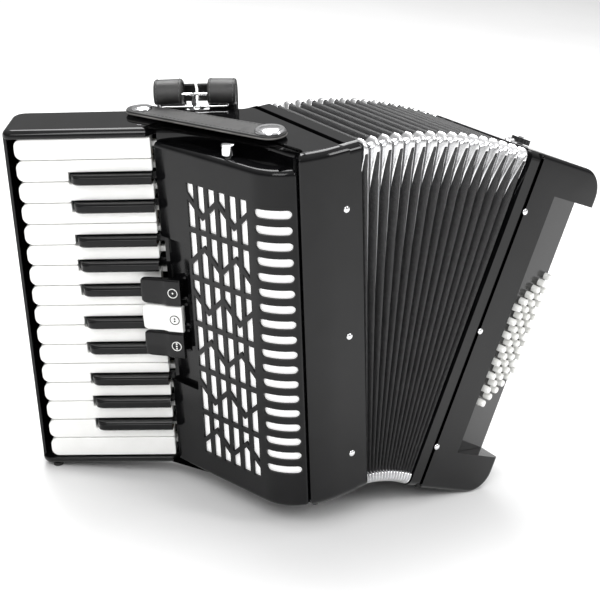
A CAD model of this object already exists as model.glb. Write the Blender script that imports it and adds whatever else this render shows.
import math
import random

import bmesh
import bpy
from mathutils import Matrix, Vector


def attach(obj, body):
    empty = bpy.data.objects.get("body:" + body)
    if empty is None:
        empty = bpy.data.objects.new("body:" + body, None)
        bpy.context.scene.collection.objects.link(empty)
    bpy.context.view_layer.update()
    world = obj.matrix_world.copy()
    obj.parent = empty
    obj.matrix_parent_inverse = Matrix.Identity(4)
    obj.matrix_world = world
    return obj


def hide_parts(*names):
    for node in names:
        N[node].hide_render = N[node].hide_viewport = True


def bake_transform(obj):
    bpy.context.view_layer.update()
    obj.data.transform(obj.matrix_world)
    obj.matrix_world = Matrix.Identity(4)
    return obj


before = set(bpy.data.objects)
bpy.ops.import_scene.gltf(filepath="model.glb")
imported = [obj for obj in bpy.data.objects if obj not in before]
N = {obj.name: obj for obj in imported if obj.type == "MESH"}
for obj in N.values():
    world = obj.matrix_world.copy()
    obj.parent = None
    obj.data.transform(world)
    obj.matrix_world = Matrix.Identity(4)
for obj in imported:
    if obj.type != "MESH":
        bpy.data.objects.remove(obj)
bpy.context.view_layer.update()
TS, BS_ = "treble_side", "bass_side"

# ------------------------------------------------------------------ frame of the design, in mm
MM = 0.001
LEAN, LIFT, FAN, SWEEP = -8.97, (-2.77, -56.19, 34.5), 25.85, 37.1
TIP = (-190.2, 141.1)
KEY_TOP, PITCH, NW, KLEN, BLEN = 309.6, 19.0, 16, 113.1, 69.0
Z_LO, Z_HI = KEY_TOP - NW * PITCH - 0.4 - 7.2, KEY_TOP + 0.6 + 7.2
ZH = Z_HI - Z_LO
YF, YB = -68.0, 68.0
BW = 90.0


def T(x, y, z):
    return Matrix.Translation((x, y, z))


def R(deg, ax):
    return Matrix.Rotation(math.radians(deg), 4, ax)


SC = Matrix.Scale(MM, 4)
M_ST = SC @ T(*LIFT) @ R(LEAN, "Y")
M_KB = M_ST @ T(TIP[0], TIP[1], 0) @ R(-SWEEP, "Z")
M_GP = M_ST @ T(-97.9, 71.9, 0) @ R(-76.8, "Z")
M_BA = M_ST @ T(68.6, 0, -23.3) @ R(FAN, "Y")
M_BD = M_BA @ T(34, YF + 3, 0) @ R(20, "Z")
kx, ky = math.cos(math.radians(SWEEP)), -math.sin(math.radians(SWEEP))


def kpt(u, v):
    return (TIP[0] + kx * u - ky * v, TIP[1] + ky * u + kx * v)


def gpt(s, d):
    return (-97.9 + 0.22835 * s + 0.97358 * d, 71.9 - 0.97358 * s + 0.22835 * d)


# ------------------------------------------------------------------ camera
cd = bpy.data.cameras.new("camera")
cam = bpy.data.objects.new("camera", cd)
bpy.context.scene.collection.objects.link(cam)
yaw, pitch, roll = 0.5921, 0.4451, 0.038
fwd = Vector((math.sin(yaw) * math.cos(pitch), math.cos(yaw) * math.cos(pitch), -math.sin(pitch)))
right = Vector((math.cos(yaw), -math.sin(yaw), 0))
down = fwd.cross(right)
r2 = math.cos(roll) * right + math.sin(roll) * down
d2 = -math.sin(roll) * right + math.cos(roll) * down
rot = R(LEAN, "Y").to_3x3()
X, Y, Z = rot @ r2, rot @ (-d2), rot @ (-fwd)
loc = M_ST @ Vector((-617.2, -908.0, 682.7))
cam.matrix_world = Matrix(((X.x, Y.x, Z.x, loc.x), (X.y, Y.y, Z.y, loc.y), (X.z, Y.z, Z.z, loc.z), (0, 0, 0, 1)))
cd.sensor_width = 36
cd.lens = 1414.4 / 600 * 36
cd.clip_start, cd.clip_end = 0.05, 60
bpy.context.scene.camera = cam


# ------------------------------------------------------------------ mesh helpers
def link(name, me, mat=None, body=None, smooth=35, wn=True):
    me.validate()
    me.update()
    ob = bpy.data.objects.new(name, me)
    bpy.context.scene.collection.objects.link(ob)
    if mat is not None:
        if isinstance(mat, (list, tuple)):
            for m in mat:
                me.materials.append(m)
        else:
            me.materials.append(mat)
    if smooth:
        me.shade_smooth()
        me.set_sharp_from_angle(angle=math.radians(smooth))
    if wn and smooth:
        w_ = ob.modifiers.new("wn", "WEIGHTED_NORMAL")
        w_.keep_sharp = True
    if body:
        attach(ob, body)
    return ob


def mesh_from(name, verts, faces, M=None):
    me = bpy.data.meshes.new(name)
    if M is not None:
        verts = [M @ Vector(v) for v in verts]
    me.from_pydata([tuple(v) for v in verts], [], faces)
    bm = bmesh.new()
    bm.from_mesh(me)
    bmesh.ops.recalc_face_normals(bm, faces=bm.faces)
    bm.to_mesh(me)
    bm.free()
    return me


def join_meshes(name, parts):
    """parts: list of (verts, faces) already placed."""
    V, F = [], []
    for v, f in parts:
        o = len(V)
        V += [tuple(p) for p in v]
        F += [[i + o for i in q] for q in f]
    return mesh_from(name, V, F)


def place(part, M):
    v, f = part
    return [M @ Vector(p) for p in v], f


def arc(c, r, a0, a1, n=10):
    return [(c[0] + r * math.cos(math.radians(a0 + (a1 - a0) * i / n)), c[1] + r * math.sin(math.radians(a0 + (a1 - a0) * i / n))) for i in range(n + 1)]


def smooth_path(pts, n=6):
    """Catmull-Rom through pts."""
    out = []
    P = [pts[0]] + list(pts) + [pts[-1]]
    for i in range(1, len(P) - 2):
        for k in range(n):
            t = k / n
            q = []
            for d in range(len(pts[0])):
                a, b, c, e = P[i - 1][d], P[i][d], P[i + 1][d], P[i + 2][d]
                q.append(0.5 * ((2 * b) + (-a + c) * t + (2 * a - 5 * b + 4 * c - e) * t * t + (-a + 3 * b - 3 * c + e) * t ** 3))
            out.append(tuple(q))
    out.append(tuple(pts[-1]))
    return out


def normals2d(p, closed):
    """Unit miter normals to the left of travel, scaled for a constant offset."""
    n = len(p)
    out = []
    for i in range(n):
        a = p[(i - 1) % n] if (closed or i > 0) else None
        c = p[(i + 1) % n] if (closed or i < n - 1) else None
        b = p[i]
        ds = []
        if a is not None:
            ds.append(((b[0] - a[0]), (b[1] - a[1])))
        if c is not None:
            ds.append(((c[0] - b[0]), (c[1] - b[1])))
        ns = []
        for d in ds:
            l = math.hypot(*d) or 1e-9
            ns.append((-d[1] / l, d[0] / l))
        if len(ns) == 1:
            out.append(ns[0])
        else:
            mx, my = ns[0][0] + ns[1][0], ns[0][1] + ns[1][1]
            l2 = (mx * mx + my * my) or 1e-9
            s = 2 / l2
            s = min(s, 2.2 / math.sqrt(l2))
            out.append((mx * s, my * s))
    return out


def area2(p):
    return sum(p[i][0] * p[(i + 1) % len(p)][1] - p[(i + 1) % len(p)][0] * p[i][1] for i in range(len(p))) / 2


def round_poly(pts, r, n=5):
    """Rounds the corners of a closed polygon; r is one radius or one per corner."""
    out = []
    m = len(pts)
    for i in range(m):
        a, b, c = Vector(pts[i - 1]), Vector(pts[i]), Vector(pts[(i + 1) % m])
        ri = r[i] if isinstance(r, (list, tuple)) else r
        if ri <= 0:
            out.append(tuple(b))
            continue
        u, w = (a - b), (c - b)
        lu, lw = u.length, w.length
        u.normalize()
        w.normalize()
        ang = math.acos(max(-1, min(1, u.dot(w))))
        if ang > 3.1:
            out.append(tuple(b))
            continue
        d = min(ri / math.tan(ang / 2), lu * 0.49, lw * 0.49)
        rr = d * math.tan(ang / 2)
        bis = (u + w).normalized()
        ctr = b + bis * (rr / math.sin(ang / 2))
        p0, p1 = b + u * d, b + w * d
        a0 = math.atan2(p0.y - ctr.y, p0.x - ctr.x)
        a1 = math.atan2(p1.y - ctr.y, p1.x - ctr.x)
        da = (a1 - a0 + math.pi) % (2 * math.pi) - math.pi
        for k in range(n + 1):
            t = a0 + da * k / n
            out.append((ctr.x + rr * math.cos(t), ctr.y + rr * math.sin(t)))
    return out


def loft(outline, z0, z1, rt=1.0, rb=1.0, seg=5):
    """Closed solid over a plane outline, with rounded top and bottom edges. Local Z up."""
    p = list(outline)
    if area2(p) < 0:
        p.reverse()
    nn = normals2d(p, True)
    prof = []
    if rb > 0:
        for k in range(seg + 1):
            a = math.pi / 2 * k / seg
            prof.append((rb * (1 - math.sin(a)), z0 + rb * (1 - math.cos(a))))
    else:
        prof.append((0, z0))
    if rt > 0:
        for k in range(seg + 1):
            a = math.pi / 2 * k / seg
            prof.append((rt * (1 - math.cos(a)), z1 - rt * (1 - math.sin(a))))
    else:
        prof.append((0, z1))
    n = len(p)
    V, F = [], []
    for off, z in prof:
        V += [(x + nx * off, y + ny * off, z) for (x, y), (nx, ny) in zip(p, nn)]
    for i in range(len(prof) - 1):
        for j in range(n):
            a, b = i * n + j, i * n + (j + 1) % n
            F.append([a, b, b + n, a + n])
    F.append(list(range(n))[::-1])
    F.append([(len(prof) - 1) * n + j for j in range(n)])
    return V, F


def ribbon(path, prof):
    """Sweeps a closed profile [(inset, z)] along an open plane path; inset goes to the left of travel."""
    nn = normals2d(path, False)
    n, m = len(path), len(prof)
    V = [(x + nx * o, y + ny * o, z) for (x, y), (nx, ny) in zip(path, nn) for o, z in prof]
    F = [[i * m + j, i * m + (j + 1) % m, (i + 1) * m + (j + 1) % m, (i + 1) * m + j] for i in range(n - 1) for j in range(m)]
    F.append(list(range(m)))
    F.append([(n - 1) * m + j for j in range(m)][::-1])
    return V, F


def cprof(z0, z1, r, t, seg=6, rb=None):
    """Wall with its top and bottom edges turned inwards."""
    rb = r if rb is None else rb
    P = []
    for k in range(seg + 1):
        a = math.pi / 2 * k / seg
        P.append((rb * (1 - math.sin(a)), z0 + rb * (1 - math.cos(a))))
    for k in range(seg + 1):
        a = math.pi / 2 * k / seg
        P.append((r * (1 - math.cos(a)), z1 - r * (1 - math.sin(a))))
    Q = []
    for k in range(seg + 1):
        a = math.pi / 2 * (1 - k / seg)
        Q.append((r - (r - t) * math.cos(a), z1 - r + (r - t) * math.sin(a)))
    for k in range(seg + 1):
        a = math.pi / 2 * (1 - k / seg)
        Q.append((rb - (rb - t) * math.sin(a), z0 + rb - (rb - t) * math.cos(a)))
    return P + Q


def lathe(prof, n=32):
    """prof: [(r, z)] from the axis to the axis."""
    V, F = [], []
    rows = []
    for r, z in prof:
        if r < 1e-6:
            rows.append([len(V)])
            V.append((0, 0, z))
        else:
            rows.append(list(range(len(V), len(V) + n)))
            V += [(r * math.cos(2 * math.pi * k / n), r * math.sin(2 * math.pi * k / n), z) for k in range(n)]
    for a, b in zip(rows, rows[1:]):
        if len(a) == 1 and len(b) == 1:
            continue
        for k in range(n):
            k2 = (k + 1) % n
            if len(a) == 1:
                F.append([a[0], b[k], b[k2]])
            elif len(b) == 1:
                F.append([a[k], a[k2], b[0]])
            else:
                F.append([a[k], a[k2], b[k2], b[k]])
    return V, F


def boxpart(x0, y0, z0, x1, y1, z1, r=0.0):
    if r > 0:
        return loft(round_poly([(x0, y0), (x1, y0), (x1, y1), (x0, y1)], r, 3), z0, z1, r * 0.8, r * 0.8, 3)
    V = [(x, y, z) for z in (z0, z1) for x, y in ((x0, y0), (x1, y0), (x1, y1), (x0, y1))]
    return V, [[0, 3, 2, 1], [4, 5, 6, 7], [0, 1, 5, 4], [1, 2, 6, 5], [2, 3, 7, 6], [3, 0, 4, 7]]


def tube(path, r, n=10, closed=False):
    """Round tube along 3-D points."""
    P = [Vector(p) for p in path]
    V, F = [], []
    m = len(P)
    up = None
    for i in range(m):
        a = P[(i - 1) % m] if (closed or i) else P[0]
        b = P[(i + 1) % m] if (closed or i < m - 1) else P[-1]
        t = (b - a).normalized()
        if up is None:
            up = t.orthogonal().normalized()
        up = (up - t * up.dot(t)).normalized()
        s = t.cross(up)
        V += [P[i] + r * (math.cos(2 * math.pi * k / n) * up + math.sin(2 * math.pi * k / n) * s) for k in range(n)]
    for i in range(m if closed else m - 1):
        for k in range(n):
            a, b = i * n + k, i * n + (k + 1) % n
            c, d = ((i + 1) % m) * n + (k + 1) % n, ((i + 1) % m) * n + k
            F.append([a, b, c, d])
    if not closed:
        F.append(list(range(n))[::-1])
        F.append([(m - 1) * n + k for k in range(n)])
    return V, F


def band(path, w, th, M, n_round=3, crown=0.0):
    """Flat strap of width w along local X, following (y, z) points; th thick, edges rounded. Returns part in world."""
    P = [Vector(p) for p in path]
    m = len(P)
    prof = []
    r = th / 2
    for s in (1, -1):
        for k in range(n_round + 1):
            a = math.pi / 2 - math.pi * k / n_round
            prof.append((s * (w / 2 - r) + s * r * math.cos(a), s * r * math.sin(a)))
    # widen the middle a little where padded
    full = []
    for (x, h) in prof:
        full.append((x, h))
    V, F = [], []
    for i in range(m):
        a, b = P[max(i - 1, 0)], P[min(i + 1, m - 1)]
        t = (b - a).normalized()
        nrm = Vector((-t.y, t.x))
        for x, h in full:
            V.append((x, P[i].x + nrm.x * h, P[i].y + nrm.y * h))
    k = len(full)
    for i in range(m - 1):
        for j in range(k):
            F.append([i * k + j, i * k + (j + 1) % k, (i + 1) * k + (j + 1) % k, (i + 1) * k + j])
    F.append(list(range(k))[::-1])
    F.append([(m - 1) * k + j for j in range(k)])
    return place((V, F), M)


# ------------------------------------------------------------------ materials
def mat(name):
    m = bpy.data.materials.new(name)
    m.use_nodes = True
    nt = m.node_tree
    return m, nt, nt.nodes["Principled BSDF"]


def nd(nt, kind, **kw):
    n = nt.nodes.new(kind)
    for k, v in kw.items():
        setattr(n, k, v)
    return n


def obj_coords(nt, scale=(1, 1, 1)):
    tc = nd(nt, "ShaderNodeTexCoord")
    mp = nd(nt, "ShaderNodeMapping")
    mp.inputs["Scale"].default_value = scale
    nt.links.new(tc.outputs["Object"], mp.inputs["Vector"])
    return mp.outputs["Vector"]


def noise(nt, vec, scale, detail=4, rough=0.55):
    n = nd(nt, "ShaderNodeTexNoise")
    n.inputs["Scale"].default_value = scale
    n.inputs["Detail"].default_value = detail
    n.inputs["Roughness"].default_value = rough
    nt.links.new(vec, n.inputs["Vector"])
    return n.outputs["Fac"]


def ramp(nt, fac, stops):
    r = nd(nt, "ShaderNodeValToRGB")
    e = r.color_ramp.elements
    while len(e) < len(stops):
        e.new(0.5)
    for el, (p, c) in zip(e, stops):
        el.position = p
        el.color = c if len(c) == 4 else (*c, 1)
    nt.links.new(fac, r.inputs["Fac"])
    return r.outputs["Color"]


def map_range(nt, fac, a, b, c, d):
    r = nd(nt, "ShaderNodeMapRange")
    for k, v in zip(("From Min", "From Max", "To Min", "To Max"), (a, b, c, d)):
        r.inputs[k].default_value = v
    nt.links.new(fac, r.inputs["Value"])
    return r.outputs["Result"]


def bump(nt, height, strength, dist=0.0002, normal=None):
    b = nd(nt, "ShaderNodeBump")
    b.inputs["Strength"].default_value = strength
    b.inputs["Distance"].default_value = dist
    nt.links.new(height, b.inputs["Height"])
    if normal is not None:
        nt.links.new(normal, b.inputs["Normal"])
    return b.outputs["Normal"]


def gloss(name, base, dark=None, rough=0.06, coat=0.6, dust=0.03, wave=0.10, spec=0.5):
    """Lacquered celluloid or enamel: faint orange peel, dust and fine handling marks."""
    m, nt, bs = mat(name)
    vec = obj_coords(nt)
    n1 = noise(nt, vec, 60, 3)
    dark = dark or tuple(c * 0.6 for c in base)
    nt.links.new(ramp(nt, n1, [(0.35, dark), (0.7, base)]), bs.inputs["Base Color"])
    n2 = noise(nt, vec, 420, 5)
    nt.links.new(map_range(nt, n2, 0.45, 0.75, rough, rough + dust), bs.inputs["Roughness"])
    n3 = noise(nt, vec, 45, 2)
    nt.links.new(bump(nt, n3, wave, 0.0004), bs.inputs["Normal"])
    bs.inputs["Coat Weight"].default_value = coat
    bs.inputs["Coat Roughness"].default_value = 0.03
    bs.inputs["IOR"].default_value = 1.5
    bs.inputs["Specular IOR Level"].default_value = spec
    return m


m_shell = gloss("lacquer_black", (0.005, 0.005, 0.0055), rough=0.07, coat=0.1, spec=0.26)
m_grille = gloss("enamel_black", (0.005, 0.005, 0.0055), rough=0.12, coat=0.06, wave=0.06, spec=0.2)
m_board = gloss("board_black", (0.004, 0.004, 0.0045), rough=0.12, coat=0.02, spec=0.12)
m_white = gloss("key_white", (0.93, 0.93, 0.915), dark=(0.89, 0.89, 0.87), rough=0.10, coat=0.5, dust=0.05, wave=0.04)
m_black = gloss("key_black", (0.004, 0.004, 0.0045), rough=0.16, coat=0.05, wave=0.05, spec=0.2)
m_tabw = gloss("tab_white", (0.92, 0.92, 0.90), dark=(0.88, 0.88, 0.86), rough=0.12, coat=0.4, wave=0.03)
m_tabb = gloss("tab_black", (0.005, 0.005, 0.0055), rough=0.12, coat=0.1, wave=0.03, spec=0.25)
m_button = gloss("button_white", (0.94, 0.94, 0.92), dark=(0.90, 0.90, 0.87), rough=0.16, coat=0.4, wave=0.02)


def metal(name, base, rough=0.12, streak=0.06, scale=(1, 1, 1)):
    m, nt, bs = mat(name)
    vec = obj_coords(nt, scale)
    n1 = noise(nt, vec, 300, 6)
    bs.inputs["Metallic"].default_value = 1.0
    nt.links.new(ramp(nt, n1, [(0.3, tuple(c * 0.86 for c in base)), (0.65, base)]), bs.inputs["Base Color"])
    nt.links.new(map_range(nt, n1, 0.3, 0.7, rough, rough + streak), bs.inputs["Roughness"])
    n2 = noise(nt, vec, 120, 3)
    nt.links.new(bump(nt, n2, 0.06, 0.0002), bs.inputs["Normal"])
    return m


m_chrome = metal("nickel", (0.86, 0.86, 0.87), 0.08, 0.06)
m_corner = metal("corner_metal", (0.90, 0.90, 0.91), 0.16, 0.10)
m_steel = metal("steel", (0.62, 0.62, 0.64), 0.25, 0.15)


def leather(name, base, light, rough=0.42):
    m, nt, bs = mat(name)
    vec = obj_coords(nt)
    vo = nd(nt, "ShaderNodeTexVoronoi", feature="DISTANCE_TO_EDGE")
    vo.inputs["Scale"].default_value = 900
    nt.links.new(vec, vo.inputs["Vector"])
    n1 = noise(nt, vec, 90, 5)
    nt.links.new(ramp(nt, n1, [(0.3, base), (0.75, light)]), bs.inputs["Base Color"])
    nt.links.new(map_range(nt, n1, 0.3, 0.7, rough - 0.06, rough + 0.12), bs.inputs["Roughness"])
    b1 = bump(nt, vo.outputs["Distance"], 0.55, 0.0003)
    nt.links.new(bump(nt, noise(nt, vec, 260, 4), 0.25, 0.0003, b1), bs.inputs["Normal"])
    bs.inputs["Specular IOR Level"].default_value = 0.5
    return m


m_leather = leather("strap_leather", (0.012, 0.012, 0.012), (0.035, 0.034, 0.033))
m_edge = leather("leather_edge", (0.16, 0.155, 0.15), (0.30, 0.29, 0.28), 0.6)
m_pad = leather("pad_leather", (0.010, 0.010, 0.010), (0.030, 0.030, 0.030), 0.38)


def flat_mat(name, base, other, scale, rough, bump_s=0.2, sheen=0.0):
    m, nt, bs = mat(name)
    vec = obj_coords(nt)
    n1 = noise(nt, vec, scale, 5)
    nt.links.new(ramp(nt, n1, [(0.35, base), (0.7, other)]), bs.inputs["Base Color"])
    nt.links.new(map_range(nt, n1, 0.3, 0.7, rough - 0.05, rough + 0.08), bs.inputs["Roughness"])
    nt.links.new(bump(nt, noise(nt, vec, scale * 4, 4), bump_s, 0.0002), bs.inputs["Normal"])
    bs.inputs["Sheen Weight"].default_value = sheen
    return m


m_thread = flat_mat("thread", (0.05, 0.05, 0.05), (0.12, 0.12, 0.12), 1500, 0.7, 0.4)
m_rubber = flat_mat("rubber", (0.012, 0.012, 0.012), (0.025, 0.025, 0.025), 300, 0.75, 0.3)
m_paper = flat_mat("silver_paper", (0.80, 0.80, 0.81), (0.92, 0.92, 0.93), 200, 0.35, 0.15)
m_felt = flat_mat("black_wood_felt", (0.010, 0.009, 0.009), (0.03, 0.028, 0.026), 700, 0.8, 0.5, 0.3)
m_knob = flat_mat("knob_black", (0.012, 0.012, 0.013), (0.022, 0.022, 0.024), 500, 0.38, 0.15)


def wood(name):
    m, nt, bs = mat(name)
    vec = obj_coords(nt, (1, 1, 0.08))
    n1 = noise(nt, vec, 220, 8)
    nt.links.new(ramp(nt, n1, [(0.3, (0.30, 0.18, 0.09)), (0.55, (0.52, 0.35, 0.19)), (0.8, (0.62, 0.45, 0.27))]), bs.inputs["Base Color"])
    bs.inputs["Roughness"].default_value = 0.55
    nt.links.new(bump(nt, n1, 0.15, 0.0002), bs.inputs["Normal"])
    return m


m_wood = wood("maple")


def bellows_cloth():
    """Black leatherette tape with a slanted woven grain."""
    m, nt, bs = mat("bellows_cloth")
    tc = nd(nt, "ShaderNodeTexCoord")
    outs = []
    for ang in (42, -42):
        mp = nd(nt, "ShaderNodeMapping")
        mp.inputs["Rotation"].default_value = (math.radians(ang), math.radians(ang * 0.3), 0)
        nt.links.new(tc.outputs["Object"], mp.inputs["Vector"])
        w = nd(nt, "ShaderNodeTexWave", wave_type="BANDS", bands_direction="Z")
        w.inputs["Scale"].default_value = 210
        w.inputs["Distortion"].default_value = 1.2
        w.inputs["Detail"].default_value = 2
        w.inputs["Detail Scale"].default_value = 3
        nt.links.new(mp.outputs["Vector"], w.inputs["Vector"])
        outs.append(w.outputs["Fac"])
    mx = nd(nt, "ShaderNodeMath", operation="MAXIMUM")
    nt.links.new(outs[0], mx.inputs[0])
    nt.links.new(outs[1], mx.inputs[1])
    n1 = noise(nt, tc.outputs["Object"], 500, 5)
    ad = nd(nt, "ShaderNodeMath", operation="MULTIPLY")
    nt.links.new(mx.outputs[0], ad.inputs[0])
    nt.links.new(n1, ad.inputs[1])
    nt.links.new(ramp(nt, ad.outputs[0], [(0.15, (0.004, 0.004, 0.004)), (0.42, (0.020, 0.020, 0.021)), (0.75, (0.060, 0.060, 0.062))]), bs.inputs["Base Color"])
    nt.links.new(map_range(nt, ad.outputs[0], 0.1, 0.7, 0.62, 0.38), bs.inputs["Roughness"])
    nt.links.new(bump(nt, ad.outputs[0], 0.9, 0.0005), bs.inputs["Normal"])
    return m


m_cloth = bellows_cloth()


def gauze():
    """White gauze with dark specks."""
    m, nt, bs = mat("grille_gauze")
    vec = obj_coords(nt)
    n1 = noise(nt, vec, 420, 4, 0.7)
    n2 = noise(nt, vec, 900, 3, 0.7)
    mu = nd(nt, "ShaderNodeMath", operation="MULTIPLY")
    nt.links.new(n1, mu.inputs[0])
    nt.links.new(n2, mu.inputs[1])
    nt.links.new(ramp(nt, mu.outputs[0], [(0.10, (0.08, 0.08, 0.08)), (0.15, (0.80, 0.80, 0.79)), (0.24, (0.96, 0.96, 0.95))]), bs.inputs["Base Color"])
    bs.inputs["Roughness"].default_value = 0.8
    bs.inputs["Emission Color"].default_value = (1, 1, 1, 1)
    bs.inputs["Emission Strength"].default_value = 0.28
    nt.links.new(bump(nt, n2, 0.5, 0.0004), bs.inputs["Normal"])
    return m


m_gauze = gauze()


def assign(node, m, bev=0.0, seg=3):
    ob = N[node]
    ob.data.materials.clear()
    ob.data.materials.append(m)
    if bev > 0:
        md = ob.modifiers.new("bevel", "BEVEL")
        md.width = bev * MM
        md.segments = seg
        md.limit_method = "ANGLE"
        md.angle_limit = math.radians(38)
        md.harden_normals = True
    return ob


# ------------------------------------------------------------------ treble case
S_CURVE = [(-43.5, -38), (-47.5, -14), (-54, 10), (-64, 32), (-79, 56)]
front_arc = arc((-14.7, YF + 105), 105, 270, 253.6, 8) + [(-45.0, -62.6), (-44.4, -60.4), (-43.2, -56.4)]
s_path = smooth_path([(-42.4, -54.2), (-41.2, -50)] + S_CURVE + [gpt(1.5, 3.6)], 6)
box_path = [(0.0, YF), (-8, YF)] + front_arc + s_path
# walls: the path runs clockwise seen from above, so the inside is to the right; reverse it
wall = list(reversed(box_path))
RT = 6.6
parts = [place(ribbon(wall, cprof(Z_LO, Z_HI, RT, 2.2)), M_ST)]
corner = arc((2.7, 38), 12, 180, 90, 8)
rear_s = [(0.0, YB), (-5, YB)] + smooth_path([(-5, YB), kpt(187.3, 50), kpt(180, 50)], 4)[1:] + [kpt(100, 50)] + [kpt(*p) for p in reversed(corner)] + [kpt(-9.3, 30), kpt(-9.3, 6), kpt(-8.4, 2.2)]
parts.append(place(ribbon(list(reversed(rear_s))[::-1], cprof(Z_LO, Z_HI, 5.5, 2.4)), M_ST))
rim = [(-1, YF + 0.35), (-8, YF + 0.35)] + arc((-14.7, YF + 105), 104.65, 270, 253.8, 8) + [(-44.6, -62.2), (-43.0, -56.0)] + [(x + 0.35, y + 0.05) for x, y in s_path[:-1]]
rim += [gpt(-1.4, 5.5), gpt(-1.4, -4.0), kpt(110.6, -3), kpt(60, -3)] + [kpt(*p) for p in arc((-0.3, 6), 9, 270, 180, 8)]
rim += [kpt(*p) for p in arc((2.7, 38), 12, 180, 90, 8)] + [kpt(100, 50), kpt(187.3, 50), (-1, YB)]
parts.append(place(loft(rim, Z_HI - 7.2, Z_HI - 0.05, 5.6, 1.0, 6), M_ST))
parts.append(place(loft(rim, Z_LO + 0.05, Z_LO + 7.2, 1.0, 5.6, 6), M_ST))
case = link("treble_shell", join_meshes("treble_shell", parts), m_shell, TS, 40)
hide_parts("treble_case")

# ------------------------------------------------------------------ grille
# drawn flat as a sheet in (s, t), cut, then bent round its vertical and its top and bottom edges
G_LO, G_HI, G_ARC, G_FLAT = Z_LO + 2.6, 306.0, 38.9, 109.5
G_TH, G_RT, G_RB = 2.0, 5.0, 3.4
gpath = [(0.0, 4.8), (0.0, 2.4)] + arc((2.4, 2.4), 2.4, 180, 270, 5)[1:] + [(26.3, 0.0), (60.3, 0.0), (91.7, 0.0), (G_FLAT, 0.0)]
gpath += arc((G_FLAT, G_ARC), G_ARC, -90, -36, 20)[1:]
gx, gy = gpath[-1]
gc = (gx - 4 * math.cos(math.radians(-36)), gy - 4 * math.sin(math.radians(-36)))
gpath += arc(gc, 4.0, -36, 59.8, 7)[1:]
gpath.append((gpath[-1][0] - 4.3, gpath[-1][1] + 2.5))
gnrm = normals2d(gpath, False)
gs = [0.0]
for q in range(1, len(gpath)):
    gs.append(gs[-1] + math.dist(gpath[q], gpath[q - 1]))
off_s = next(v for v, q in zip(gs, gpath) if abs(q[0] - 26.3) < 1e-6) - 26.3
gs = [v - off_s for v in gs]
gprof = []
for q in range(7):
    t_ = math.pi / 2 * q / 6
    gprof.append((G_RB * (1 - math.sin(t_)), G_LO + G_RB * (1 - math.cos(t_)), math.sin(t_), math.cos(t_)))
for q in range(7):
    t_ = math.pi / 2 * q / 6
    gprof.append((G_RT * (1 - math.cos(t_)), G_HI - G_RT * (1 - math.sin(t_)), math.cos(t_), -math.sin(t_)))
gprof.append((G_RT + 9, G_HI, 0.0, -1.0))
gprof.insert(0, (G_RB + 6, G_LO, 0.0, 1.0))
gt = [0.0]
for q in range(1, len(gprof)):
    gt.append(gt[-1] + math.dist(gprof[q][:2], gprof[q - 1][:2]))
off_t = next(v for v, q in zip(gt, gprof) if abs(q[1] - (G_LO + G_RB)) < 1e-6) - (G_LO + G_RB)
gt = [v - off_t for v in gt]
ns_, nt_ = len(gs), len(gt)
V = [(x, y, z) for y in (0.0, G_TH) for z in gt for x in gs]
F = []
for j in range(nt_ - 1):
    for i in range(ns_ - 1):
        a = j * ns_ + i
        F.append([a, a + 1, a + ns_ + 1, a + ns_])
        F.append([q + ns_ * nt_ for q in (a, a + ns_, a + ns_ + 1, a + 1)])
for i in range(ns_ - 1):
    F.append([i + 1, i, i + ns_ * nt_, i + 1 + ns_ * nt_])
    a = (nt_ - 1) * ns_ + i
    F.append([a, a + 1, a + 1 + ns_ * nt_, a + ns_ * nt_])
for j in range(nt_ - 1):
    a = j * ns_
    F.append([a, a + ns_, a + ns_ + ns_ * nt_, a + ns_ * nt_])
    a = j * ns_ + ns_ - 1
    F.append([a + ns_, a, a + ns_ * nt_, a + ns_ + ns_ * nt_])
gme = mesh_from("grille_cover", V, F)
grille = link("grille_cover", gme, m_grille, None, 0)
# cutters
CP, MH, PX, PT, PS = 12.0, 43.2, 35.2, 280.2, 0.0


def clip_poly(poly, a, b, c):
    """Keeps the side a*x + b*y <= c."""
    out = []
    for i in range(len(poly)):
        p, q = poly[i], poly[(i + 1) % len(poly)]
        dp, dq = a * p[0] + b * p[1] - c, a * q[0] + b * q[1] - c
        if dp <= 0:
            out.append(p)
        if (dp < 0 < dq) or (dq < 0 < dp):
            t = dp / (dp - dq)
            out.append((p[0] + t * (q[0] - p[0]), p[1] + t * (q[1] - p[1])))
    return out


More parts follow.
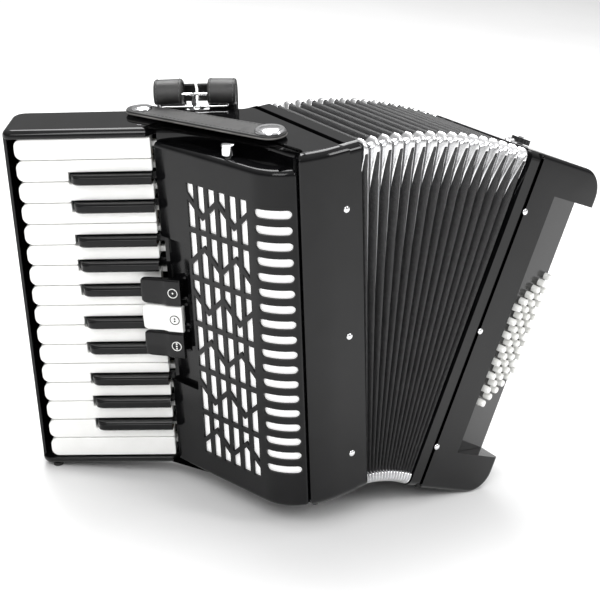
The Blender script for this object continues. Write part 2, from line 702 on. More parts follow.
holes = []
for m_ in range(6):
    zz = []
    for s in range(4):
        la, lb = (0.28, 0.68) if s % 2 == 0 else (0.68, 0.28)
        if m_ % 2:
            la, lb = 1 - la, 1 - lb
        xa, xb = s * 1.5 * CP, (s + 1) * 1.5 * CP
        zz.append((xa, -(m_ + la) * MH + xa * PS, xb, -(m_ + lb) * MH + xb * PS))
    for c in range(6):
        x0, x1 = c * CP + 1.5, c * CP + 9.3
        za, zb = -m_ * MH - 2.2, -(m_ + 1) * MH + 2.2
        cell = [(x0, za + x0 * PS), (x1, za + x1 * PS), (x1, zb + x1 * PS), (x0, zb + x0 * PS)]
        # split by every zigzag segment that crosses this column
        up, dn = [cell], []
        segs = [z for z in zz if z[0] < x1 - 0.05 and z[2] > x0 + 0.05]
        strips = []
        for (xa, ya, xb, yb) in segs:
            l, r = max(x0, xa), min(x1, xb)
            piece = clip_poly(clip_poly(cell, -1, 0, -l), 1, 0, r)
            sl = (yb - ya) / (xb - xa)
            # above the bar: y >= ya + sl (x - xa) + 2.9
            hi = clip_poly(piece, sl, -1, sl * xa - ya - 2.9)
            lo = clip_poly(piece, -sl, 1, -sl * xa + ya - 2.9)
            strips.append((hi, lo))
        for idx in (0, 1):
            polys = [s[idx] for s in strips if len(s[idx]) >= 3 and abs(area2(s[idx])) > 0.3]
            if not polys:
                continue
            if len(polys) == 1:
                holes.append(polys[0])
            else:
                # two pieces share the line x = r of the first: merge them into one outline
                a, b = polys[0], polys[1]
                xm = segs[0][2]
                pa = [p for p in a if p[0] < xm - 1e-4]
                pb = [p for p in b if p[0] > xm + 1e-4]
                mid = sorted({round(p[1], 4) for p in a + b if abs(p[0] - xm) <= 1e-3})
                pts = pa + pb + [(xm, mid[0]), (xm, mid[-1])]
                # order as upper chain and lower chain by x
                def ys(x, poly):
                    e = []
                    for i in range(len(poly)):
                        p, q = poly[i], poly[(i + 1) % len(poly)]
                        if min(p[0], q[0]) - 1e-6 <= x <= max(p[0], q[0]) + 1e-6:
                            if abs(q[0] - p[0]) < 1e-6:
                                e += [p[1], q[1]]
                            else:
                                t = (x - p[0]) / (q[0] - p[0])
                                e.append(p[1] + t * (q[1] - p[1]))
                    return (min(e), max(e)) if e else None
                xs = sorted({round(p[0], 4) for p in pts})
                lo_c, hi_c = [], []
                for x in xs:
                    r_ = ys(x, a) if x < xm - 1e-4 else (ys(x, b) if x > xm + 1e-4 else (ys(x, a) or ys(x, b)))
                    if r_:
                        lo_c.append((x, r_[0]))
                        if r_[1] - r_[0] > 1e-3:
                            hi_c.append((x, r_[1]))
                holes.append(lo_c + hi_c[::-1])


def prism(poly, y0, y1):
    """Plane figure in (x, z), extruded along y."""
    n = len(poly)
    V = [(x, y, z) for y in (y0, y1) for x, z in poly]
    F = [[i, (i + 1) % n, n + (i + 1) % n, n + i] for i in range(n)]
    return V, F + [list(range(n))[::-1], list(range(n, 2 * n))]


cut = [prism([(PX + x, PT + z) for x, z in h], -2, 5) for h in holes]
for j in range(18):
    zc, h = 270 - j * 13.67, 3.8
    st = [(x, z) for x, z in arc((112.2 + h, zc), h, 90, 270, 8)] + [(x, z) for x, z in arc((144.4 - h, zc), h, 270, 450, 8)]
    cut.append(prism(st, -2, 5))
cut.append(prism(round_poly([(-20, 84.1), (34, 84.1), (34, 221.9), (-20, 221.9)], [0, 2, 2, 0]), -2, 5))
cme = join_meshes("cutters", cut)
cutter = bpy.data.objects.new("cutters", cme)
bpy.context.scene.collection.objects.link(cutter)


def boolean(ob, cutter, smooth=38):
    md = ob.modifiers.new("cut", "BOOLEAN")
    md.operation = "DIFFERENCE"
    md.solver = "EXACT"
    md.object = cutter
    bpy.context.view_layer.update()
    dg = bpy.context.evaluated_depsgraph_get()
    me = bpy.data.meshes.new_from_object(ob.evaluated_get(dg))
    ob.modifiers.clear()
    old = ob.data
    ob.data = me
    bpy.data.meshes.remove(old)
    bpy.data.objects.remove(cutter)
    ob.data.shade_smooth()
    ob.data.set_sharp_from_angle(angle=math.radians(smooth))
    return ob


boolean(grille, cutter)
while len(grille.data.materials) > 1:
    grille.data.materials.pop()


def bend_at(tab, v):
    for i in range(len(tab) - 2):
        if v <= tab[i + 1]:
            break
    else:
        i = len(tab) - 2
    return i, (v - tab[i]) / (tab[i + 1] - tab[i])


for vtx in grille.data.vertices:
    x, y, z = vtx.co
    i, f_ = bend_at(gs, x)
    j, h_ = bend_at(gt, z)
    pr0, pr1 = gprof[j], gprof[j + 1]
    ins, zz_, ni, nz = [a + (b - a) * h_ for a, b in zip(pr0, pr1)]
    ins, zz_ = ins + ni * y, zz_ + nz * y
    px, py = [gpath[i][k] + (gpath[i + 1][k] - gpath[i][k]) * f_ for k in (0, 1)]
    nx, ny = [gnrm[i][k] + (gnrm[i + 1][k] - gnrm[i][k]) * f_ for k in (0, 1)]
    vtx.co = M_GP @ Vector((px + nx * ins, py + ny * ins, zz_))
grille.data.update()
grille.data.shade_smooth()
grille.data.set_sharp_from_angle(angle=math.radians(32))
wn = grille.modifiers.new("wn", "WEIGHTED_NORMAL")
wn.keep_sharp = True
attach(grille, TS)
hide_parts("grille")
assign("grille_mesh", m_gauze)
assign("register_plate", m_grille, 0.5)

# ------------------------------------------------------------------ inner and hidden parts
assign("keyboard_bed", m_felt, 0.5)
assign("key_axle", m_steel)
assign("treble_reed_block", m_wood, 0.5)
assign("bass_reed_block", m_wood, 0.5)
assign("strap_brackets", m_chrome, 0.5)
assign("treble_bellows_frame", m_shell, 1.6, 4)
assign("bass_bellows_frame", m_shell, 1.6, 4)

# ------------------------------------------------------------------ keys
def black_after(i):
    return i < NW and i % 7 not in (1, 4)


KEYS = [(i, b) for i in range(1, NW + 1) for b in (0, 1) if b == 0 or black_after(i)]
OFF = {2: 3.0, 3: -3.0, 5: 4.0, 6: 0.0, 0: -4.0}
for n_, (i, b) in enumerate(KEYS, 1):
    name = "key_%02d" % n_
    zs = KEY_TOP - PITCH * i
    zc = zs + 0.775 * OFF[i % 7] if b else zs + PITCH / 2
    ps = []
    # lever and pallet
    u0, hw = (KLEN - BLEN + 4, 3.2) if b else (8, 2.4)
    ps.append(place(boxpart(u0, 6.3 if b else 11, zc - hw, 188, 18, zc + hw, 0.6), M_KB))
    ps.append(place(boxpart(162, 17.5, zc - 2.9, 186, 23.7, zc + 2.9, 0.6), M_KB))
    if b:
        # crowned top that slopes at the playing end
        a, zb = 4.3, zs + OFF[i % 7]
        us = [(0.0, 4.6, 0), (0.2, 2.6, 0.15), (1.0, -0.8, 0.3), (3.0, -5.2, 0.6), (4.6, -6.8, 0.85), (6.8, -7.7, 1.0), (10, -8.0, 1.05), (40, -8.0, 1.05), (BLEN + 0.3, -8.0, 1.05)]
        V, F = [], []
        for du, top, ins in us:
            u = KLEN - BLEN + du
            r = 1.4 if du > 0.5 else 0.6
            row = [(a, 7.0), (a, top + r + 0.8)]
            for k in range(5):
                t = math.pi / 2 * k / 4
                row.append((a - ins - r + r * math.cos(t), top + r - r * math.sin(t)))
            full = row + [(-x, y) for x, y in reversed(row)]
            V += [(u, y, zb + x) for x, y in full]
        m_ = len(V) // len(us)
        for s in range(len(us) - 1):
            for j in range(m_ - 1):
                F.append([s * m_ + j, s * m_ + j + 1, (s + 1) * m_ + j + 1, (s + 1) * m_ + j])
            F.append([s * m_ + m_ - 1, s * m_, (s + 1) * m_, (s + 1) * m_ + m_ - 1])
        F.append(list(range(m_)))
        F.append([(len(us) - 1) * m_ + j for j in range(m_)][::-1])
        ps.append(place((V, F), M_KB))
    else:
        up = 5.1 - OFF[(i - 1) % 7] if (i > 1 and black_after(i - 1)) else 0.35
        dn = 5.1 + OFF[i % 7] if black_after(i) else 0.35
        hi, lo = zs + PITCH, zs
        un = KLEN - BLEN - 0.8
        # head with rounded corners, and the narrower tail that runs between the black keys
        for pts, rad, top in (([(0, lo + 0.35), (0, hi - 0.35), (un, hi - 0.35), (un, lo + 0.35)], [6.6, 6.6, 1.5, 1.5], 0.0),
                              ([(un - 9, lo + dn), (un - 9, hi - up), (KLEN + 0.5, hi - up), (KLEN + 0.5, lo + dn)], [1.4, 1.4, 1.4, 1.4], -0.02)):
            # local Z of the loft is towards the player: map (x, y, z) -> (u, -z, y)
            v, f = loft(round_poly(pts[::-1], rad[::-1], 7), -12.0, top, 0.9, 0.4, 4)
            ps.append(place(([(x, -z, y) for x, y, z in v], f), M_KB))
    me = join_meshes(name + "_top", ps)
    ob = link(name + "_top", me, m_black if b else m_white, None, 42)
    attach(ob, name)
    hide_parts(name)

# ------------------------------------------------------------------ register tabs
REG = [177.3, 152.2, 127.1]


def tab_part():
    """Square pad that runs into a nose shaped like a low roof; local Y points away from the player."""
    xs = [-36, -35.8, -35.2, -34.2, -32.5, -30, -27, -24, -21, -18, -15.5, -14, -13, -12, -9, -6, -3, -1.2, -0.5, -0.12, 0]
    zs_ = [-12.15, -12.0, -11.5, -10.6, -9, -6.5, -4, -1.6, 0, 1.6, 4, 6.5, 9, 10.6, 11.5, 12.0, 12.15]
    V, F = [], []
    for x in xs:
        lim = 12.15 if x > -31 else 12.15 - (4.2 - math.sqrt(max(0.0, 4.2 ** 2 - (-31 - x) ** 2 * 0.66)))
        for z in zs_:
            zz_ = z * lim / 12.15
            e = min(lim - abs(zz_), x + 36)
            r = 2.0
            drop = r - math.sqrt(max(0.0, r * r - (r - e) ** 2)) if e < r else 0.0
            e2 = -x
            drop += 0.8 - math.sqrt(max(0.0, 0.64 - (0.8 - e2) ** 2)) if e2 < 0.8 else 0.0
            k = max(0.0, min(1.0, (-13 - x) / 4))
            drop += k * (0.35 + 0.115 * abs(zz_))
            bot = 0.0 if x > -14 else -2.0 * (-14 - x) / 22
            V.append((x, min(bot - 0.5, -5.4 + drop), zz_))
    nz = len(zs_)
    top = len(V)
    for x in xs:
        lim = 12.15 if x > -31 else 12.15 - (4.2 - math.sqrt(max(0.0, 4.2 ** 2 - (-31 - x) ** 2 * 0.66)))
        for z in zs_:
            V.append((x, 0.0 if x > -14 else -2.0 * (-14 - x) / 22, z * lim / 12.15))
    nx_ = len(xs)
    for i in range(nx_ - 1):
        for j in range(nz - 1):
            a = i * nz + j
            F.append([a, a + nz, a + nz + 1, a + 1])
            F.append([top + a, top + a + 1, top + a + nz + 1, top + a + nz])
    for i in range(nx_ - 1):
        for j, fl in ((0, True), (nz - 1, False)):
            q = [i * nz + j, (i + 1) * nz + j, top + (i + 1) * nz + j, top + i * nz + j]
            F.append(q[::-1] if fl else q)
    for j in range(nz - 1):
        for i, fl in ((0, False), (nx_ - 1, True)):
            q = [i * nz + j, i * nz + j + 1, top + i * nz + j + 1, top + i * nz + j]
            F.append(q[::-1] if fl else q)
    return V, F


for r_, z in enumerate(REG, 1):
    M_TB = M_KB @ T(133, -16.6, z) @ R(-12, "Z")
    ps = [place(tab_part(), M_TB), place(boxpart(127.2, -16.0, z - 7.8, 132.4, -5.2, z + 7.8, 0.5), M_KB)]
    nm = "register_switch_%d" % r_
    ob = link(nm + "_tab", join_meshes(nm, ps), m_tabw if r_ == 2 else m_tabb, None, 40)
    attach(ob, nm)
    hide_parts(nm)
    # generic mark: a ring with one, two or three dots
    mk = []
    ringp = [Vector((-6.8 + 4.1 * math.cos(t), -5.45, 4.1 * math.sin(t))) for t in [2 * math.pi * k / 28 for k in range(28)]]
    mk.append(place(tube(ringp, 0.42, 6, True), M_TB))
    for q in range(r_):
        dz = (q - (r_ - 1) / 2) * 2.3
        d = lathe([(0, 0.25), (0.7, 0.2), (0.85, 0.0), (0.85, -0.2), (0, -0.2)], 12)
        mk.append(place(d, M_TB @ T(-6.8, -5.4, dz) @ R(90, "X")))
    mo = link(nm + "_mark", join_meshes(nm + "_mark", mk), m_black if r_ == 2 else m_tabw, nm, 60)

# ------------------------------------------------------------------ bellows
FW = 11.0
ca, sa = math.cos(math.radians(FAN)), math.sin(math.radians(FAN))
bx, bz = 68.6 - FW * ca, -23.3 + FW * sa
dx, dz = bx - FW * ca, bz + FW * sa
dd = 2 - 2 * ca
FC = (((1 - ca) * dx + sa * dz) / dd, (-sa * dx + (1 - ca) * dz) / dd)


def turn(deg, p):
    c, s = math.cos(math.radians(deg)), math.sin(math.radians(deg))
    x, z = p[0] - FC[0], p[2] - FC[1]
    return (FC[0] + c * x + s * z, p[1], FC[1] - s * x + c * z)


def ring_loop(d, rc=7.0, nside=10, nc=5):
    """Points (y, z) round a fold at depth d, with rounded corners."""
    y0, y1, z0, z1 = YF + d, YB - d, Z_LO + d, Z_HI - d
    rc = max(2.0, rc - d * 0.25)
    P = []
    cs = [((y1 - rc, z0 + rc), -90), ((y1 - rc, z1 - rc), 0), ((y0 + rc, z1 - rc), 90), ((y0 + rc, z0 + rc), 180)]
    for q, (c, a0) in enumerate(cs):
        P += arc(c, rc, a0, a0 + 90, nc)
        nx = cs[(q + 1) % 4]
        e = arc(nx[0], rc, nx[1], nx[1], 1)[0]
        s = P[-1]
        ns = nside
        for k in range(1, ns):
            P.append((s[0] + (e[0] - s[0]) * k / ns, s[1] + (e[1] - s[1]) * k / ns))
    return P


NF = 16
PROF = [(-0.5, 13.2), (-0.34, 8.2), (-0.315, 7.2), (-0.24, 4.6), (-0.15, 2.6), (-0.07, 1.75), (0, 1.55), (0.07, 1.75), (0.15, 2.6), (0.24, 4.6), (0.315, 7.2), (0.34, 8.2), (0.5, 13.2)]


rng = random.Random(4)
for i in range(NF):
    u = (i + 0.5) / NF
    a = FAN * u
    nrm = Vector((math.cos(math.radians(a)), 0, -math.sin(math.radians(a))))
    V, F, MI = [], [], []
    loops = []
    jit = [rng.uniform(-0.25, 0.25) for _ in range(4)]
    for q, (tau, d) in enumerate(PROF):
        lp = ring_loop(d)
        ang = FAN * (0.001 + 0.998 * (i + 0.5 + tau) / NF)
        idx = []
        for k, (y, z) in enumerate(lp):
            # gentle irregularity of the cardboard, none at the valleys
            wob = math.sin(y * 0.045 + i * 1.7) * 0.35 * (1 - abs(tau) * 2)
            x, y2, z2 = turn(ang + math.degrees(wob / 420) * 0.8, (FW, y, z))
            idx.append(len(V))
            V.append((x, y2, z2))
        loops.append(idx)
    n = len(loops[0])
    for q in range(len(loops) - 1):
        for k in range(n):
            F.append([loops[q][k], loops[q][(k + 1) % n], loops[q + 1][(k + 1) % n], loops[q + 1][k]])
            MI.append(1 if (PROF[q][1] > 7.5 and PROF[q + 1][1] > 7.5) else 0)
    me = bpy.data.meshes.new("fold_%02d" % (i + 1))
    me.from_pydata([tuple(M_ST @ Vector(v)) for v in V], [], F)
    me.update()
    for p, mi in zip(me.polygons, MI):
        p.material_index = mi
    ob = link("fold_%02d" % (i + 1), me, [m_cloth, m_paper], None, 50, False)
    sol = ob.modifiers.new("card", "SOLIDIFY")
    sol.thickness = 0.5 * MM
    sol.offset = -1
    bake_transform(ob)
    # metal caps
    lpN = ring_loop(0)
    capP = [(-0.40, 6.6), (-0.33, 5.6), (-0.22, 3.0), (-0.12, 1.5), (-0.04, 0.95), (0.04, 0.95), (0.12, 1.5), (0.22, 3.0), (0.33, 5.6), (0.40, 6.6)]
    parts = []
    for cy, cz in ((1, 0), (1, 1), (0, 1), (0, 0)):
        y0c, z0c = (YB if cy else YF), (Z_HI if cz else Z_LO)
        sy, sz = (-1 if cy else 1), (-1 if cz else 1)
        rows = []
        for tau, d in capP:
            ang = FAN * (0.001 + 0.998 * (i + 0.5 + tau) / NF)
            rc = max(2.0, 7.0 - d * 0.25)
            pts = []
            ln = 5.2 - abs(tau) * 6
            for k in range(3):
                pts.append((d + rc + ln * (1 - k / 3), d))
            for k in range(7):
                t = math.radians(90 * k / 6)
                pts.append((d + rc - rc * math.sin(t), d + rc - rc * math.cos(t)))
            # at the top the legs run down the valleys in a V
            lv = 3.5 + 33.0 * max(0.0, (abs(tau) - 0.12) / 0.28) ** 1.3 if cz else ln
            for k in range(1, 4):
                pts.append((d, d + rc + lv * k / 3))
            rows.append([turn(ang, (FW, y0c + sy * p, z0c + sz * q)) for p, q in pts])
        m = len(rows[0])
        V2 = [M_ST @ Vector(p) for r_ in rows for p in r_]
        F2 = [[r_ * m + k, r_ * m + k + 1, (r_ + 1) * m + k + 1, (r_ + 1) * m + k] for r_ in range(len(rows) - 1) for k in range(m - 1)]
        if cy != cz:
            F2 = [f[::-1] for f in F2]
        parts.append((V2, F2))
    V3, F3 = [], []
    for v, f in parts:
        o = len(V3)
        V3 += [tuple(p) for p in v]
        F3 += [[q + o for q in g] for g in f]
    me = bpy.data.meshes.new("caps_%02d" % (i + 1))
    me.from_pydata(V3, [], F3)
    me.update()
    ob = link("caps_%02d" % (i + 1), me, m_corner, None, 60, False)
    sol = ob.modifiers.new("sheet", "SOLIDIFY")
    sol.thickness = 0.45 * MM
    sol.offset = 0
    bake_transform(ob)
    if i == 0:
        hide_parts("bellows_folds")
        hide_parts("bellows_corners")

# ------------------------------------------------------------------ bass case
def rr_outline(x0, z0, x1, z1, r, n=12):
    return round_poly([(x0, z0), (x1, z0), (x1, z1), (x0, z1)], [0.8, r, r, 0.8], n)


v, f = loft(rr_outline(0.15, Z_LO, BW, Z_HI, 24), -68, 68, 4.2, 4.2, 6)
# loft is drawn in (x, z) with depth as its local Z: map (x, y, z) -> (x, z, y)
v = [(x, z, y) for x, y, z in v]
bass = link("bass_shell", mesh_from("bass_shell", v, f, M_BA), m_shell, None, 0)


def vprism(poly, z0, z1):
    n = len(poly)
    V = [(x, y, z) for z in (z0, z1) for x, y in poly]
    F = [[i, (i + 1) % n, n + (i + 1) % n, n + i] for i in range(n)]
    return V, F + [list(range(n))[::-1], list(range(n, 2 * n))]


tb = math.tan(math.radians(20))
seat = vprism([(34, YF - 6), (BW + 6, YF - 6), (BW + 6, YF + 6.4 + tb * (BW + 6 - 34)), (34, YF + 6.4)], 36, 285)
cav = vprism([(-3, YF + 5), (31, YF + 5), (31, YF + 11), (BW - 5, YF + 11 + tb * (BW - 39)), (BW - 5, YB - 5), (-3, YB - 5)], 22, 296)
win = ([tuple(T(34, YF + 3, 0) @ R(20, "Z") @ Vector(p)) for p in boxpart(5, 0, 70, 58.3, 14, 230)[0]], boxpart(5, 0, 70, 58.3, 14, 230)[1])
air = place(lathe([(0, 0), (6.9, 0), (6.9, 14), (0, 14)], 40), T(BW - 9, -22, 266) @ R(90, "Y"))
for c_ in (cav, seat, win, air):
    me = mesh_from("cut", c_[0], c_[1], M_BA)
    o = bpy.data.objects.new("cut", me)
    bpy.context.scene.collection.objects.link(o)
    boolean(bass, o, 38)
while len(bass.data.materials) > 1:
    bass.data.materials.pop()
bv = bass.modifiers.new("bevel", "BEVEL")
bv.width = 0.7 * MM
bv.segments = 2
bv.limit_method = "ANGLE"
bv.angle_limit = math.radians(50)
bv.harden_normals = True
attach(bass, BS_)
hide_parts("bass_case")
assign("button_board", m_board, 0.4, 2)

# buttons
for r_ in range(6):
    ps = []
    for j in range(8):
        x, z = 8.8 + r_ * 9.1, 86 + r_ * 6.4 + j * 13.3
        pr = [(0, 7.0), (1.2, 6.98), (2.1, 6.85), (2.7, 6.55), (3.05, 6.1), (3.25, 5.4), (3.3, 4.5), (3.3, -6.2), (0, -6.2)]
        ps.append(place(lathe(pr, 26), M_BD @ T(x, 0, z) @ R(90, "X")))
    x = 8.8 + r_ * 9.1
    ps.append(place(boxpart(x - 2.4, 6, 83 + r_ * 6.4, x + 2.4, 9, 83 + r_ * 6.4 + 99.1, 0.4), M_BD))
    nm = "button_row_%d" % (r_ + 1)
    ob = link(nm + "_caps", join_meshes(nm, ps), m_button, None, 50)
    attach(ob, nm)
    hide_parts(nm)

# ------------------------------------------------------------------ fittings
def dome(r, h, base=0.0, n=6, seg=32):
    pr = [(0, base + h)]
    for k in range(1, n + 1):
        t = math.pi / 2 * k / n
        pr.append((r * math.sin(t), base + h * math.cos(t)))
    return pr + [(r, base - 0.6), (0, base - 0.6)]


def snap(r, h):
    """Sheet-metal snap: rolled rim, dished ring and a low dome."""
    return [(0, h), (r * 0.3, h * 0.97), (r * 0.52, h * 0.86), (r * 0.66, h * 0.66), (r * 0.74, h * 0.62), (r * 0.84, h * 0.72), (r * 0.92, h * 0.66), (r * 0.98, h * 0.42), (r, h * 0.18), (r * 0.97, 0), (0, 0)]


tf, bf = [], []
for z in (39.6, 152, 264.8):
    tf.append(place(lathe(dome(3.0, 1.3), 24), M_ST @ T(-4.4, YF, z) @ R(90, "X")))
    tf.append(place(lathe(dome(3.0, 1.3), 24), M_ST @ T(-4.4, YB, z) @ R(-90, "X")))
    bf.append(place(lathe(dome(3.0, 1.3), 24), M_BA @ T(5, YF, z) @ R(90, "X")))
    bf.append(place(lathe(dome(3.0, 1.3), 24), M_BA @ T(5, YB, z) @ R(-90, "X")))
SP = (-37.0, -12.0)
tf.append(place(lathe([(0, 5.5), (3, 5.5), (3, 0), (0, 0)], 24), M_ST @ T(SP[0], SP[1], Z_HI)))
tf.append(place(lathe([(0, 1.2), (6.6, 1.2), (7, 0.8), (7, 0), (0, 0)], 32), M_ST @ T(SP[0], SP[1], Z_HI)))
tf.append(place(lathe(snap(12.5, 3.4), 48), M_ST @ T(SP[0], SP[1], Z_HI + 5.15)))
tf.append(place(lathe(snap(7.5, 2.0), 32), M_ST @ T(-29, 0, Z_LO - 3) @ R(180, "X")))
# knurled thumbscrew on the grille's top edge
kn = []
prof_k = [(0, 10.6), (4.4, 10.6), (5.2, 10.3), (5.7, 9.6), (5.7, 2.2), (5.3, 1.6), (3.2, 1.4), (3.0, -2.0), (0, -2.0)]
vk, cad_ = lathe(prof_k, 60)
vk = [((x * (1 - (0.045 if (int(round(math.degrees(math.atan2(y, x)) / 6)) % 2) else 0)), y * (1 - (0.045 if (int(round(math.degrees(math.atan2(y, x)) / 6)) % 2) else 0)), z) if math.hypot(x, y) > 5.3 else (x, y, z)) for x, y, z in vk]
tf.append(place((vk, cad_), M_GP @ T(77.5, 10.6, 306.0)))
tf.append(place(lathe([(0, 2.4), (4.6, 2.2), (5, 1.6), (5, 0), (0, 0)], 32), M_GP @ T(77.5, 10.6, G_LO) @ R(180, "X")))
ob = link("treble_pins_and_snaps", join_meshes("tf", tf), m_chrome, TS, 35)
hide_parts("treble_fasteners")
bf.append(place(lathe([(0, 3.2), (2.2, 3.1), (3.2, 2.6), (3.5, 1.9), (3.0, 1.5), (3.1, 1.1), (5.6, 1.0), (6.0, 0.6), (6.0, 0), (0, 0)], 32), M_BA @ T(26, -2, Z_HI)))
bf.append(place(lathe(snap(7.5, 2.0), 32), M_BA @ T(29, 0, Z_LO - 3) @ R(180, "X")))
bf.append(place(lathe([(0, 6.9), (2.6, 6.8), (3.5, 6.3), (3.5, 5.7), (1.5, 5.6), (1.5, 0), (0, 0)], 24), M_BA @ T(70, 28, Z_HI)))
ob = link("bass_pins_and_studs", join_meshes("bf", bf), m_chrome, BS_, 35)
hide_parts("bass_fasteners")
ventring = link("bass_vent_cup", join_meshes("vent", [place(lathe([(0, 0.35), (5.6, 0.4), (6.3, 0.9), (7.4, 1.2), (8.2, 1.0), (8.5, 0.5), (8.5, -0.4), (0, -0.4)], 40), M_BA @ T(52, 18, Z_HI))]), m_knob, BS_, 40)

assign("strap_wheel", m_knob, 0.3, 2)
assign("treble_feet", m_rubber, 0.8)
assign("bass_feet", m_rubber, 0.8)
ab = link("air_button_cap", join_meshes("ab", [place(lathe([(0, 10.0), (3.5, 9.9), (5.2, 9.6), (6.1, 9.0), (6.5, 8.0), (6.5, 0), (0, 0)], 40), M_BA @ T(BW - 4, -22, 266) @ R(90, "Y"))]), m_button, None, 40)
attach(ab, "air_button")
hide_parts("air_button")


# ------------------------------------------------------------------ straps
def stitches(path, M, r=0.42, ln=2.6, gap=1.5):
    """Short threads along 3-D points."""
    P = [Vector(p) for p in path]
    out = []
    dist = [0.0]
    for a, b in zip(P, P[1:]):
        dist.append(dist[-1] + (b - a).length)

    def at(s):
        for i in range(len(P) - 1):
            if dist[i + 1] >= s:
                t = (s - dist[i]) / max(1e-9, dist[i + 1] - dist[i])
                return P[i].lerp(P[i + 1], t)
        return P[-1]

    s = gap
    while s + ln < dist[-1]:
        a, b, c = at(s), at(s + ln / 2), at(s + ln)
        out.append(place(tube([a, b, c], r, 5), M))
        s += ln + gap
    return out


M_TS = M_ST @ T(SP[0], SP[1], Z_HI) @ R(112.5, "Z")
SL, SW = 131.8, 27.0


def stadium(l, w, inset=0.0, n=14, taper=1.0):
    r = w / 2 - inset
    r2_ = w / 2 * taper - inset
    return arc((0, 0), r, 90, 270, n) + arc((l, 0), r2_, -90, 90, n)


ps = []
# two layers of leather with a slight crown; the free end is narrower
v, f = loft(stadium(SL, SW, 0, 16, 0.82), 1.6, 5.0, 0.9, 0.5, 3)
body_strap = link("top_strap", join_meshes("top_strap", [place((v, f), M_TS)]), m_leather, None, 40)
v, f = loft(stadium(SL, SW + 0.5, 0, 16, 0.825), 2.3, 3.5, 0.3, 0.3, 2)
edge_strap = link("top_strap_edge", join_meshes("top_strap_edge", [place((v, f), M_TS)]), m_edge, None, 40)
st = stadium(SL, SW, 2.6, 16, 0.82)
st3 = [(x, y, 5.0) for x, y in st + [st[0]]]
th = link("top_strap_thread", join_meshes("ts_thread", stitches(st3, M_TS)), m_thread, None, 50)
sn = link("top_strap_snap", join_meshes("ts_snap", [place(lathe(snap(8.5, 2.6), 40), M_TS @ T(SL - 3, 0, 4.95)), place(lathe([(0, 1.2), (5.5, 1.1), (5.5, 0), (0, 0)], 32), M_TS @ T(SL, 0, 0.45))]), m_chrome, None, 40)
for o in (body_strap, edge_strap, th, sn):
    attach(o, "bellows_strap_top")
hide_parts("bellows_strap_top")

# bottom strap: fastened over the closed end of the bellows, bends with it
eb = (bx + sa * Z_LO, bz + ca * Z_LO)


def world_b(x, z):
    p = T(68.6, 0, -23.3) @ R(FAN, "Y") @ Vector((x, 0, z))
    return (p.x, p.z)


path = [(-38, Z_LO - 1.5), (-20, Z_LO - 1.5), (0, Z_LO - 1.5), (11, Z_LO - 1.7), (23, Z_LO - 5.6), (35, Z_LO - 11.1), (47, Z_LO - 15.6), world_b(-11, Z_LO - 1.6), world_b(0, Z_LO - 1.5), world_b(20, Z_LO - 1.5), world_b(40, Z_LO - 1.5)]
path = smooth_path(path, 4)
MB_ = M_ST @ Matrix(((0, 1, 0, 0), (1, 0, 0, 0), (0, 0, 1, 0), (0, 0, 0, 1)))
bs_part = band([(p[0], p[1]) for p in path], 24, 2.8, MB_)
bstrap = link("bottom_strap", join_meshes("bottom_strap", [bs_part]), m_leather, None, 40)
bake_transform(bstrap)
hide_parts("bellows_strap_bottom")
bt = []
for sgn in (-1, 1):
    bt += stitches([(sgn * 9.6, p[0], p[1] - 1.5) for p in path], MB_, 0.4)
bth = link("bottom_strap_thread", join_meshes("bs_thread", bt), m_thread, None, 50)
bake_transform(bth)

# hand strap on the bass side
M_HS = M_BA @ T(BW + 1.6, 28, 0) @ Matrix(((0, 1, 0, 0), (1, 0, 0, 0), (0, 0, 1, 0), (0, 0, 0, 1)))
hp = smooth_path([(0, 28), (4, 34), (9, 44), (15, 80), (18, 158), (15, 236), (9, 272), (4, 282), (0, 288)], 6)
hs = link("hand_strap", join_meshes("hand_strap", [band(hp, 43, 3.0, M_HS)]), m_leather, None, 40)
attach(hs, BS_)
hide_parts("bass_strap")
hp_in = [(p[0] + 0.0, p[1]) for p in hp]
pad = link("hand_strap_pad", join_meshes("hand_pad", [band(hp_in[10:-10], 33, 4.6, M_HS, 6)]), m_pad, BS_, 50)
ht = []
for sgn in (-1, 1):
    ht += stitches([(sgn * 19.2, p[0] + 1.5, p[1]) for p in hp], M_HS, 0.45, 3.2, 1.8)
link("hand_strap_thread", join_meshes("hs_thread", ht), m_thread, BS_, 50)
pl = []
for z in (30, 286):
    pl.append(place(boxpart(BW - 0.2, 10, z - 6, BW + 3.8, 46, z + 6, 1.2), M_BA))
    for y in (17, 39):
        pl.append(place(lathe(dome(2.6, 1.4), 20), M_BA @ T(BW + 3.8, y, z) @ R(90, "Y")))
link("hand_strap_plates", join_meshes("hs_plates", pl), m_chrome, BS_, 40)

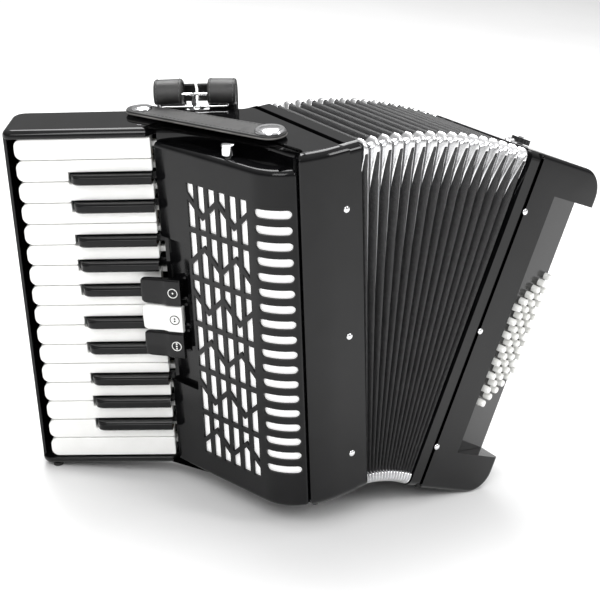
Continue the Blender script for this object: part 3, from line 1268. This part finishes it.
# shoulder straps: a rolled and looped bundle over the rear edge and a padded band down the back
M_SS = M_KB
first_strap = None
for q, u in enumerate((131.5, 160.5)):
    M_u = M_KB @ T(u, 0, 0)
    lean = 1.6 if q else -1.2
    # down the back, from the bundle to the lower bracket
    down_p = smooth_path([(57, 306), (56.2, 280), (55.6, 220), (55.4, 160), (55.4, 100), (56, 60), (58.5, 38), (61.5, 24), (58, 14.5), (55.5, 20)], 7)
    s1 = link("shoulder_strap_%d" % (q + 1), join_meshes("ss", [band(down_p, 24.5, 4.6, M_u, 6)]), m_pad, TS, 50)
    if q == 0:
        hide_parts("shoulder_straps")
    # arch from the upper bracket over the edge, folded back on itself
    loop_p = smooth_path([(58.5, 290), (63.5, 296), (67.5, 309), (68.5, 323), (64.5, 334), (56, 339.4), (48, 338), (43.5, 331.5), (44.5, 325), (51, 322), (57.5, 318), (58.5, 305)], 7)
    s2 = link("shoulder_loop_%d" % (q + 1), join_meshes("sl", [band(loop_p, 24, 3.4, M_u @ R(lean, "Y"), 5)]), m_leather, TS, 50)
    # rolled tail inside the loop
    rollp = [(56 + (5.8 + 0.028 * k) * math.cos(math.radians(k * 9)) * (0.35 + k / 120), 329 + (5.8 + 0.028 * k) * math.sin(math.radians(k * 9)) * (0.35 + k / 120)) for k in range(8, 84)]
    s3 = link("shoulder_tail_%d" % (q + 1), join_meshes("sr", [band(rollp, 23, 2.0, M_u @ R(lean, "Y"), 4)]), m_leather, TS, 50)
    # threads lie on the outside of the loop
    tt = []
    for sgn in (-1, 1):
        pts = []
        for k in range(1, len(loop_p) - 1):
            a, b = Vector(loop_p[k - 1]), Vector(loop_p[k + 1])
            t = (b - a).normalized()
            nrm = Vector((t.y, -t.x))
            pts.append((sgn * 9.6, loop_p[k][0] + nrm.x * 1.75, loop_p[k][1] + nrm.y * 1.75))
        tt += stitches(pts, M_u @ R(lean, "Y"), 0.42)
        pts = [(sgn * 9.8, p[0] + 2.35, p[1]) for p in down_p[4:-12]]
        tt += stitches(pts, M_u, 0.45, 3.4, 1.8)
    link("shoulder_thread_%d" % (q + 1), join_meshes("st", tt), m_thread, TS, 50)
    # keeper loop, rings and a slide buckle
    hw = []
    ringp = [Vector((0 + 13.6 * math.cos(t), 62.5, 306 + 10 * math.sin(t))) for t in [2 * math.pi * k / 36 for k in range(36)]]
    hw.append(place(tube(ringp, 1.5, 10, True), M_u))
    fr = [(-13.6, 47.0, 319.6), (-13.6, 45.0, 331.0), (13.6, 45.0, 331.0), (13.6, 47.0, 319.6)]
    frs = []
    for k in range(4):
        a, b = Vector(fr[k]), Vector(fr[(k + 1) % 4])
        frs += [a.lerp(b, t / 6) for t in range(6)]
    hw.append(place(tube(frs, 1.25, 8, True), M_u))
    hw.append(place(tube([(-12.4, 58.5, 290), (12.4, 58.5, 290)], 1.7, 12), M_u))
    link("strap_rings_%d" % (q + 1), join_meshes("rings", hw), m_chrome, TS, 50)
    kb_ = band([(66, 319), (71, 321), (71.6, 328), (66.5, 333)], 27, 1.6, M_u, 3)
    link("strap_keeper_%d" % (q + 1), join_meshes("keeper", [kb_]), m_pad, TS, 50)

# ------------------------------------------------------------------ floor, light and air
def stage_mesh():
    me = bpy.data.meshes.new("floor")
    s = 6.0
    me.from_pydata([(-s, -s, 0), (s, -s, 0), (s, s, 0), (-s, s, 0)], [], [[0, 1, 2, 3]])
    ob = bpy.data.objects.new("floor", me)
    bpy.context.scene.collection.objects.link(ob)
    m, nt, bs = mat("floor_white")
    vec = obj_coords(nt)
    nt.links.new(ramp(nt, noise(nt, vec, 3, 3), [(0.3, (0.93, 0.93, 0.93)), (0.7, (0.96, 0.96, 0.96))]), bs.inputs["Base Color"])
    bs.inputs["Roughness"].default_value = 0.45
    bs.inputs["Specular IOR Level"].default_value = 0.3
    me.materials.append(m)


stage_mesh()
bpy.context.scene.view_settings.view_transform = "Standard"
w = bpy.data.worlds.new("studio")
bpy.context.scene.world = w
w.use_nodes = True
nt = w.node_tree
bg = nt.nodes["Background"]
tc = nd(nt, "ShaderNodeTexCoord")
sx = nd(nt, "ShaderNodeSeparateXYZ")
nt.links.new(tc.outputs["Generated"], sx.inputs[0])
col = ramp(nt, sx.outputs["Z"], [(0.0, (1.0, 1.0, 1.0)), (0.035, (0.85, 0.85, 0.85)), (0.12, (0.20, 0.20, 0.20)), (0.45, (0.50, 0.50, 0.50)), (0.75, (1, 1, 1)), (1.0, (1, 1, 1))])
nt.links.new(col, bg.inputs["Color"])
bg.inputs["Strength"].default_value = 0.9


def area(name, loc, target, size, energy, sy=None):
    l = bpy.data.lights.new(name, "AREA")
    l.shape = "RECTANGLE"
    l.size = size
    l.size_y = sy or size
    l.energy = energy
    o = bpy.data.objects.new(name, l)
    bpy.context.scene.collection.objects.link(o)
    o.location = loc
    d = Vector(target) - Vector(loc)
    o.rotation_euler = d.to_track_quat("-Z", "Y").to_euler()
    return o


area("key_left", (-1.5, -1.3, 1.7), (-0.05, 0, 0.15), 1.1, 26)
area("top_back", (0.4, 1.0, 2.4), (0, 0.05, 0.1), 1.7, 80)
area("right_side", (1.2, -1.9, 1.5), (0.1, 0, 0.15), 0.6, 12)
